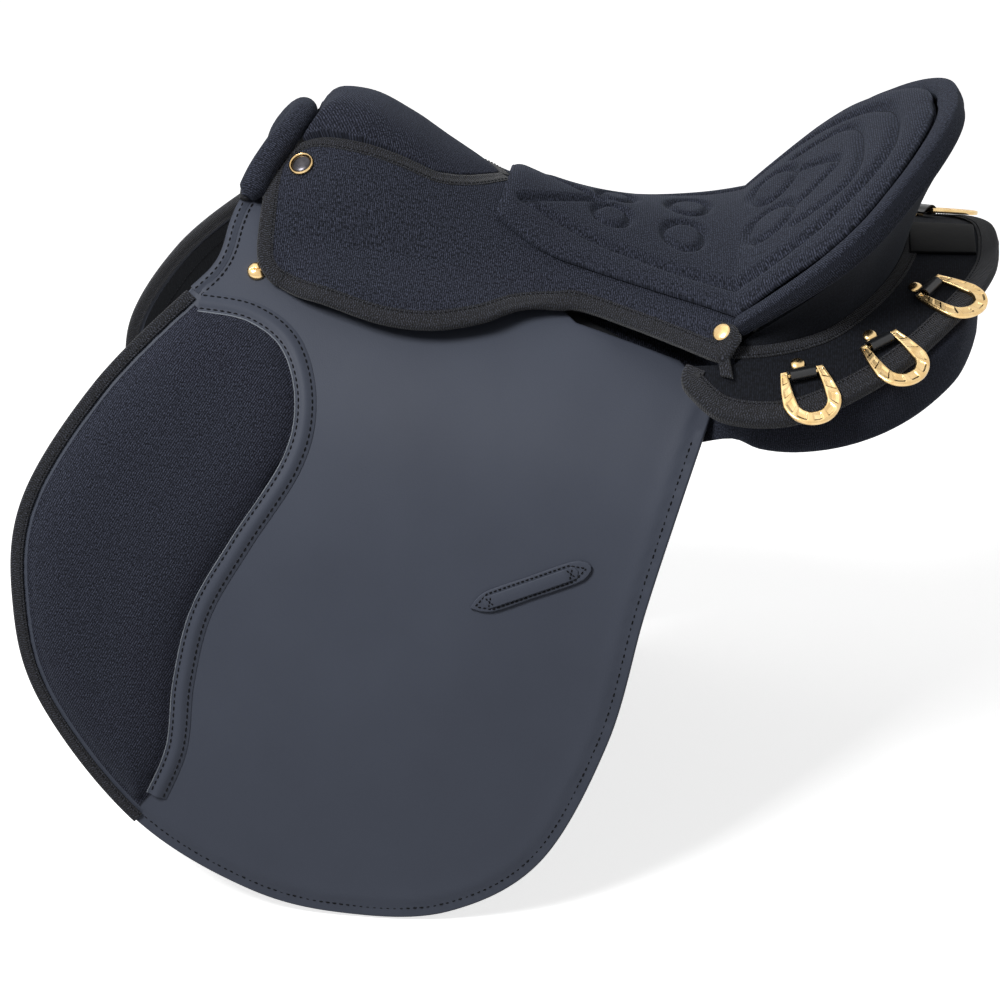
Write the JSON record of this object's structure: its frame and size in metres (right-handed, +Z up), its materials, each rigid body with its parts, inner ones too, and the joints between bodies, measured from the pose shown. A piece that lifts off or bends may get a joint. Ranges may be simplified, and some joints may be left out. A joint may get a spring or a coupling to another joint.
{
  "type": "trail saddle",
  "caption": "Synthetic riding saddle for trail use: quilted seat with a high cantle, long flaps with knee pads, lifting skirts and brass horseshoe rings for gear.",
  "frame": {"origin": "on the crest of the horse's back, under the lowest part of the seat", "axes": "+X to the rear of the saddle, +Y to its right side, +Z up; the mirror plane is Y = 0"},
  "size_m": [0.6546, 0.4446, 0.5218],
  "materials": {
    "seat_fabric": "woven navy-black fabric, matt",
    "flap_leather": "smooth blue-grey synthetic leather, satin",
    "billet_leather": "black strap leather, satin",
    "binding_webbing": "black herringbone webbing",
    "polished_brass": "polished brass",
    "plated_steel": "zinc plated",
    "tree_plastic": "moulded, matt",
    "seat_foam": "foam"
  },
  "bodies": {
    "saddle": {"tree": "tree_plastic", "gullet_plate": "plated_steel", "seat_foam": "seat_foam", "seat_cover": "seat_fabric", "seat_pad": "seat_fabric", "pommel_cushion": "seat_fabric", "pommel_roll": "seat_fabric", "cantle_roll": "seat_fabric", "cantle_back": "seat_fabric", "rear_skirt": "seat_fabric", "rear_skirt_binding": "binding_webbing", "spine_strip": "flap_leather", "panel_left": "seat_fabric", "flap_yoke_left": "flap_leather", "sweat_flap_left": "flap_leather", "stirrup_bar_left": "plated_steel", "badge_left": "polished_brass", "front_stud_left": "polished_brass", "rear_stud_left": "polished_brass", "ring_strap_front_left": "binding_webbing", "ring_rivet_front_left": "polished_brass", "ring_strap_middle_left": "binding_webbing", "ring_rivet_middle_left": "polished_brass", "ring_strap_rear_left": "binding_webbing", "ring_rivet_rear_left": "polished_brass", "panel_right": "seat_fabric", "flap_yoke_right": "flap_leather", "sweat_flap_right": "flap_leather", "stirrup_bar_right": "plated_steel", "badge_right": "polished_brass", "front_stud_right": "polished_brass", "rear_stud_right": "polished_brass", "ring_strap_front_right": "binding_webbing", "ring_rivet_front_right": "polished_brass", "ring_strap_middle_right": "binding_webbing", "ring_rivet_middle_right": "polished_brass", "ring_strap_rear_right": "binding_webbing", "ring_rivet_rear_right": "polished_brass"},
    "flap_left": {"flap_left": "flap_leather", "knee_pad_left": "seat_fabric", "flap_binding_left": "binding_webbing", "keeper_left": "flap_leather"},
    "skirt_left": {"skirt_left": "seat_fabric"},
    "billet_front_left": {"billet_front_left": "billet_leather"},
    "billet_rear_left": {"billet_rear_left": "billet_leather"},
    "gear_ring_front_left": {"gear_ring_front_left": "polished_brass"},
    "gear_ring_middle_left": {"gear_ring_middle_left": "polished_brass"},
    "gear_ring_rear_left": {"gear_ring_rear_left": "polished_brass"},
    "flap_right": {"flap_right": "flap_leather", "knee_pad_right": "seat_fabric", "flap_binding_right": "binding_webbing", "keeper_right": "flap_leather"},
    "skirt_right": {"skirt_right": "seat_fabric"},
    "billet_front_right": {"billet_front_right": "billet_leather"},
    "billet_rear_right": {"billet_rear_right": "billet_leather"},
    "gear_ring_front_right": {"gear_ring_front_right": "polished_brass"},
    "gear_ring_middle_right": {"gear_ring_middle_right": "polished_brass"},
    "gear_ring_rear_right": {"gear_ring_rear_right": "polished_brass"}
  },
  "joints": [
    {"name": "flap_lift_left", "type": "hinge", "parent": "saddle", "child": "flap_left", "pos_m": [-0.30748, -0.10555, 0.0155], "axis": [-0.9827, 0.0643, 0.1735], "range_deg": [0, 70]},
    {"name": "skirt_lift_left", "type": "hinge", "parent": "saddle", "child": "skirt_left", "pos_m": [-0.24592, -0.07795, 0.04866], "axis": [-0.9906, 0.0098, 0.1367], "range_deg": [0, 60]},
    {"name": "billet_swing_front_left", "type": "hinge", "parent": "saddle", "child": "billet_front_left", "pos_m": [-0.18545, -0.11243, -0.03129], "axis": [0, -0.9601, 0.2795], "range_deg": [-5, 5]},
    {"name": "billet_swing_rear_left", "type": "hinge", "parent": "saddle", "child": "billet_rear_left", "pos_m": [-0.08542, -0.1054, -0.03183], "axis": [0, -0.959, 0.2834], "range_deg": [-5, 5]},
    {"name": "ring_swing_front_left", "type": "hinge", "parent": "saddle", "child": "gear_ring_front_left", "pos_m": [0.101, -0.15825, -0.00579], "axis": [-0.9518, -0.2675, -0.1502], "range_deg": [0, 110]},
    {"name": "ring_swing_middle_left", "type": "hinge", "parent": "saddle", "child": "gear_ring_middle_left", "pos_m": [0.15, -0.13195, 0.00775], "axis": [-0.7953, -0.549, -0.2569], "range_deg": [0, 110]},
    {"name": "ring_swing_rear_left", "type": "hinge", "parent": "saddle", "child": "gear_ring_rear_left", "pos_m": [0.182, -0.08026, 0.02719], "axis": [-0.499, -0.8335, -0.2371], "range_deg": [0, 110]},
    {"name": "flap_lift_right", "type": "hinge", "parent": "saddle", "child": "flap_right", "pos_m": [-0.30748, 0.10555, 0.0155], "axis": [0.9827, 0.0643, -0.1735], "range_deg": [0, 70]},
    {"name": "skirt_lift_right", "type": "hinge", "parent": "saddle", "child": "skirt_right", "pos_m": [-0.24592, 0.07795, 0.04866], "axis": [0.9906, 0.0098, -0.1367], "range_deg": [0, 60]},
    {"name": "billet_swing_front_right", "type": "hinge", "parent": "saddle", "child": "billet_front_right", "pos_m": [-0.18545, 0.11243, -0.03129], "axis": [0, 0.9601, 0.2795], "range_deg": [-5, 5]},
    {"name": "billet_swing_rear_right", "type": "hinge", "parent": "saddle", "child": "billet_rear_right", "pos_m": [-0.08542, 0.1054, -0.03183], "axis": [0, 0.959, 0.2834], "range_deg": [-5, 5]},
    {"name": "ring_swing_front_right", "type": "hinge", "parent": "saddle", "child": "gear_ring_front_right", "pos_m": [0.101, 0.15825, -0.00579], "axis": [0.9518, -0.2675, 0.1502], "range_deg": [0, 110]},
    {"name": "ring_swing_middle_right", "type": "hinge", "parent": "saddle", "child": "gear_ring_middle_right", "pos_m": [0.15, 0.13195, 0.00775], "axis": [0.7953, -0.549, 0.2569], "range_deg": [0, 110]},
    {"name": "ring_swing_rear_right", "type": "hinge", "parent": "saddle", "child": "gear_ring_rear_right", "pos_m": [0.182, 0.08026, 0.02719], "axis": [0.499, -0.8335, 0.2371], "range_deg": [0, 110]}
  ]
}
